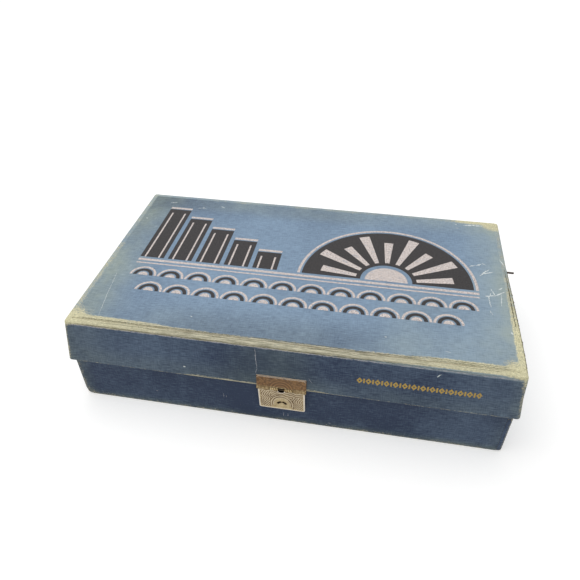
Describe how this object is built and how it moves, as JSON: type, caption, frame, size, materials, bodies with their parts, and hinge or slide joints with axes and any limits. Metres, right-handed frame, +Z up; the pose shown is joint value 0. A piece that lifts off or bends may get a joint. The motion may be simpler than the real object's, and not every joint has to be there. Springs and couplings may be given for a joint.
{
  "type": "cloth-covered case with hinged lid",
  "caption": "Shallow cloth-covered board case with a hinged lid, a stamped front clasp, fitted bays and an end drawer, for keeping game or writing pieces.",
  "frame": {"origin": "middle of the flat underside of the base", "axes": "+X to the right along the long side, +Y from the clasp to the hinge, +Z up"},
  "size_m": [0.2818, 0.1607, 0.066],
  "materials": {
    "cover_cloth": "woven book cloth",
    "lining_paper": "uncoated",
    "board": "pressed board",
    "card": "smooth card",
    "clasp_leaf_metal": "tarnished",
    "clasp_metal": "worn plate",
    "brass": "dull",
    "brad_steel": "rusted"
  },
  "bodies": {
    "base": {"base_back_wall": "board", "base_bottom_board": "board", "base_bottom_paper": "lining_paper", "base_cloth": "cover_cloth", "base_front_wall": "board", "base_left_wall": "board", "base_right_rail": "board", "catch_pins": "clasp_metal", "catch_plate": "clasp_metal", "cross_dividers": "card", "deck_board": "board", "deck_lining": "lining_paper", "hinge_cloth_lower": "cover_cloth", "long_divider": "card", "neck_back_board": "card", "neck_front_board": "card", "neck_left_board": "card", "neck_right_board": "card"},
    "lid": {"lid_back_wall": "board", "lid_brads": "brad_steel", "lid_front_skirt": "board", "lid_left_skirt": "board", "lid_lining": "lining_paper", "lid_right_skirt": "board", "lid_skirt_cloth": "cover_cloth", "lid_top_board": "board", "lid_top_cloth": "cover_cloth", "clasp_leaf": "clasp_leaf_metal", "hasp_pin": "clasp_metal", "hinge_cloth_upper": "cover_cloth"},
    "hasp": {"hasp_plate": "clasp_metal"},
    "drawer": {"drawer_bottom": "board", "drawer_far_side": "board", "drawer_front_board": "board", "drawer_front_cloth": "cover_cloth", "drawer_inner_end": "board", "drawer_knob": "brass", "drawer_near_side": "board", "knob_washer": "brass"}
  },
  "joints": [
    {"name": "lid_hinge", "type": "hinge", "parent": "base", "child": "lid", "pos_m": [0, 0.0785, 0.035], "axis": [-1, 0, 0], "range_deg": [0, 180]},
    {"name": "hasp_swing", "type": "hinge", "parent": "lid", "child": "hasp", "pos_m": [0, -0.08083, 0.03379], "axis": [-1, 0, 0], "range_deg": [0, 150]},
    {"name": "drawer_slide", "type": "slide", "parent": "base", "child": "drawer", "axis": [1, 0, 0], "range_m": [0, 0.2]}
  ]
}
